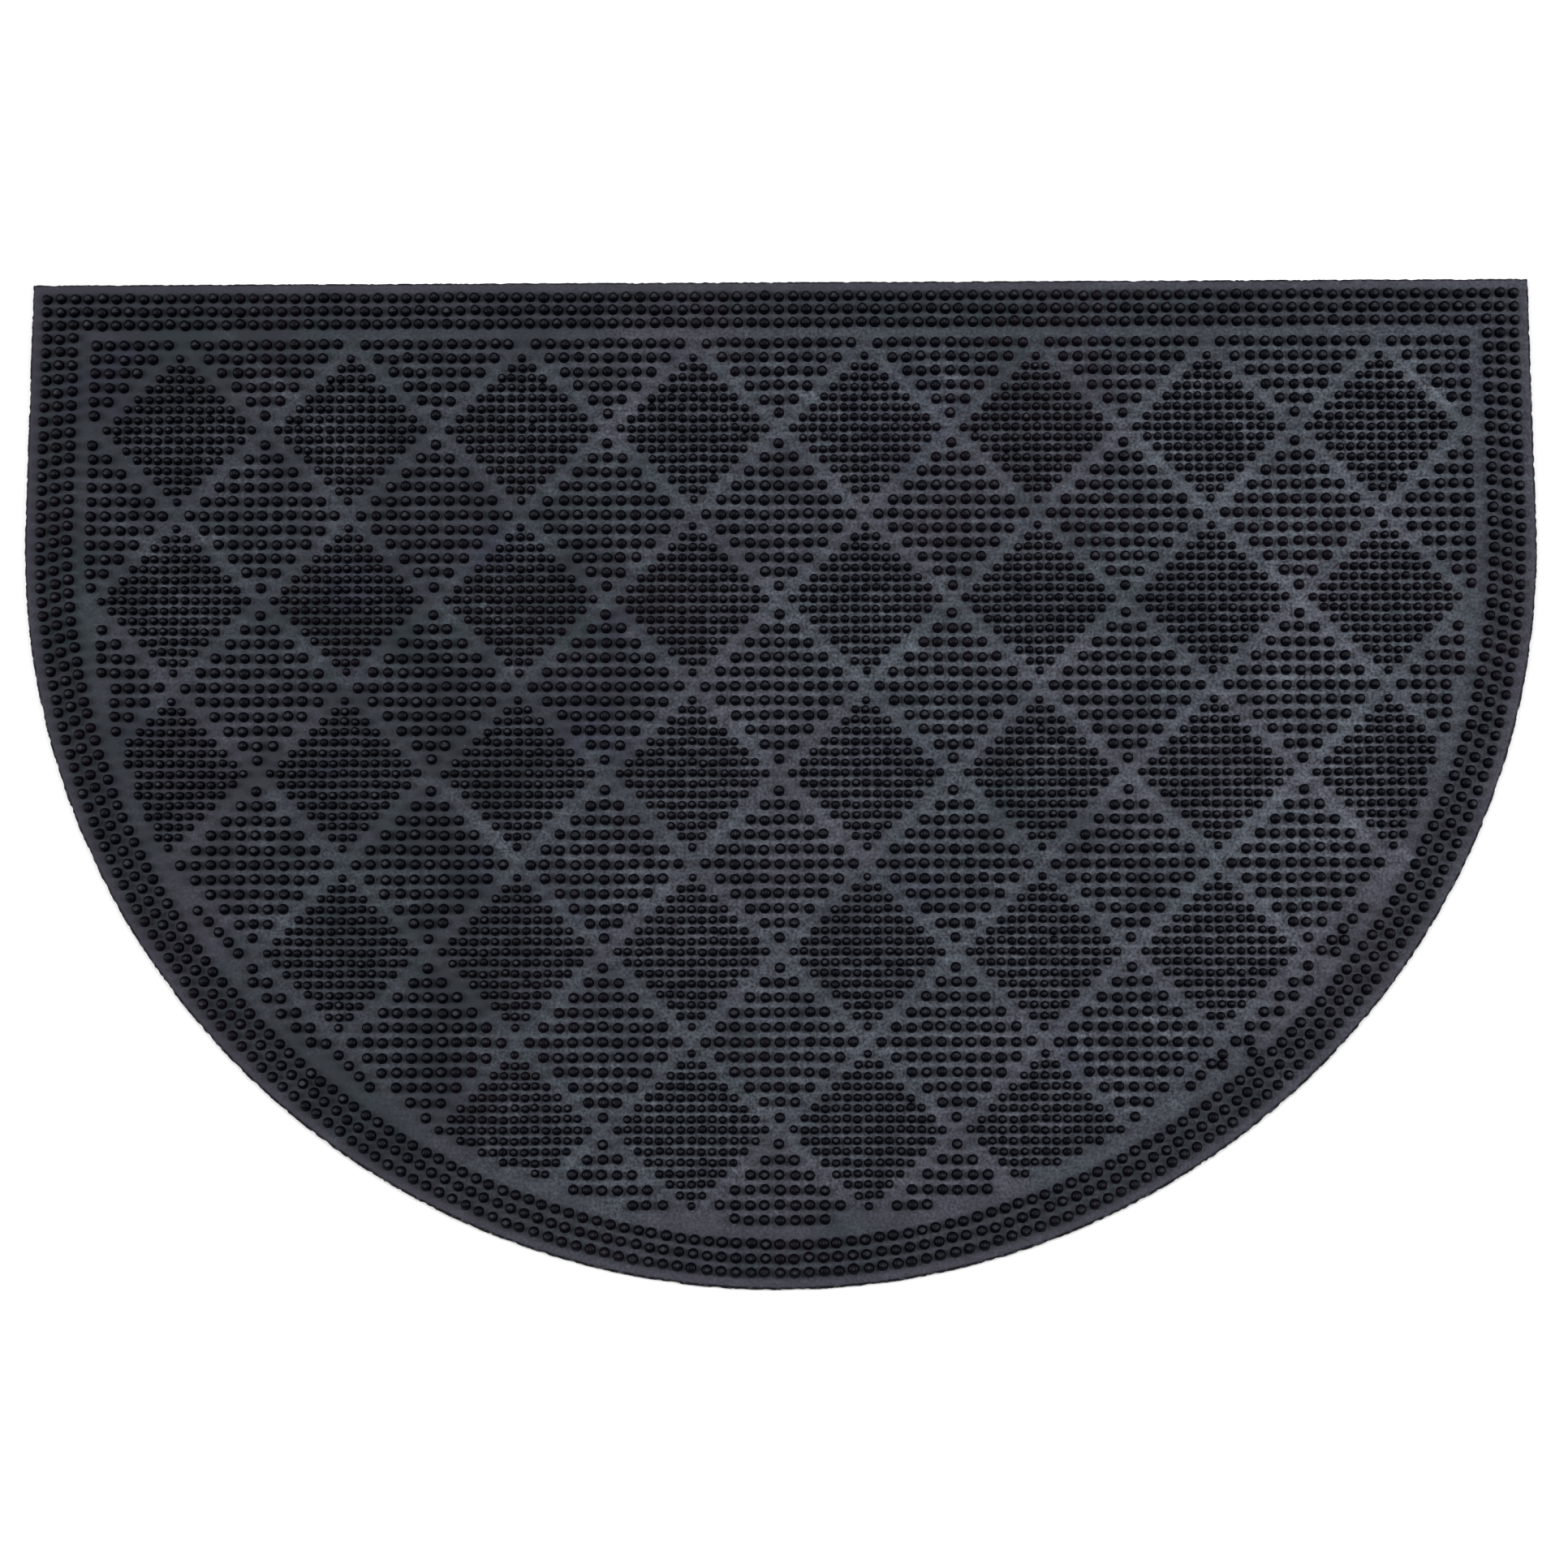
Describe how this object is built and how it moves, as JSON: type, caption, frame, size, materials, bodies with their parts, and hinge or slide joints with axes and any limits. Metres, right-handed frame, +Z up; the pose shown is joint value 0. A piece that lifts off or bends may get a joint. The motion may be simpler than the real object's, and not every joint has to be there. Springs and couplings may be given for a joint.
{
  "type": "half-moon rubber pin doormat",
  "caption": "Flat half-moon doormat of moulded rubber, with diamonds of fine and coarse pins inside a border of pin rows.",
  "frame": {"origin": "middle of the underside's bounding box, on the floor", "axes": "+X along the straight edge, +Y from the arc towards the straight edge, +Z up out of the pins"},
  "size_m": [0.6, 0.4, 0.0055],
  "materials": {
    "rubber": "matte moulded rubber, near black, with a faint grey bloom between the pins"
  },
  "bodies": {
    "root": {"doormat": "rubber"}
  },
  "joints": []
}
